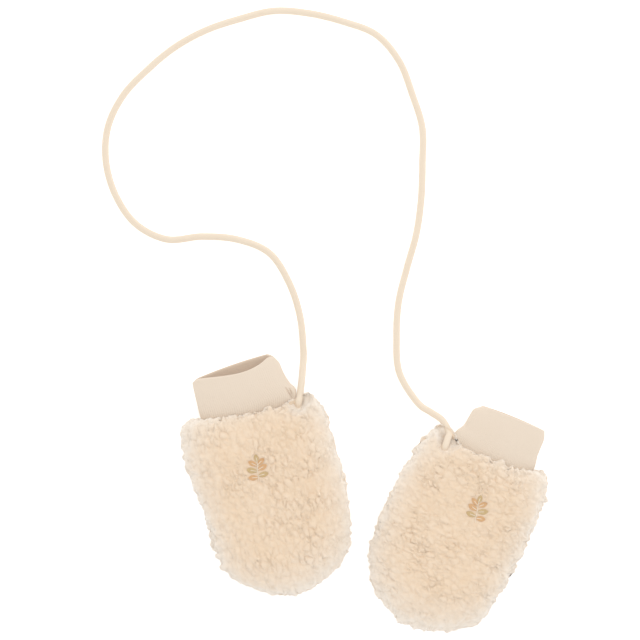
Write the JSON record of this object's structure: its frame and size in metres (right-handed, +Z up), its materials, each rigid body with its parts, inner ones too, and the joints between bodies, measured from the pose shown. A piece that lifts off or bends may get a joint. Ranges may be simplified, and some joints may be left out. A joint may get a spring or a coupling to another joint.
{
  "type": "pair of baby mittens on a cord",
  "caption": "Thumbless sherpa baby mittens with rib-knit cuffs, joined by a long round cord and laid flat.",
  "frame": {"origin": "on the surface, under the middle of the two mittens without their cord", "axes": "+Z up from the surface, +Y from the mittens towards the cord's loop, +X from the left mitten to the right one"},
  "size_m": [0.2494, 0.3517, 0.024],
  "materials": {
    "sherpa": "matte cream curly pile",
    "rib_knit": "matte cream fine rib knit",
    "cord": "matte cream knitted cord"
  },
  "bodies": {
    "root": {"left_back": "sherpa", "left_palm": "sherpa", "left_cuff": "rib_knit", "right_back": "sherpa", "right_palm": "sherpa", "right_cuff": "rib_knit", "cord": "cord"}
  },
  "joints": []
}
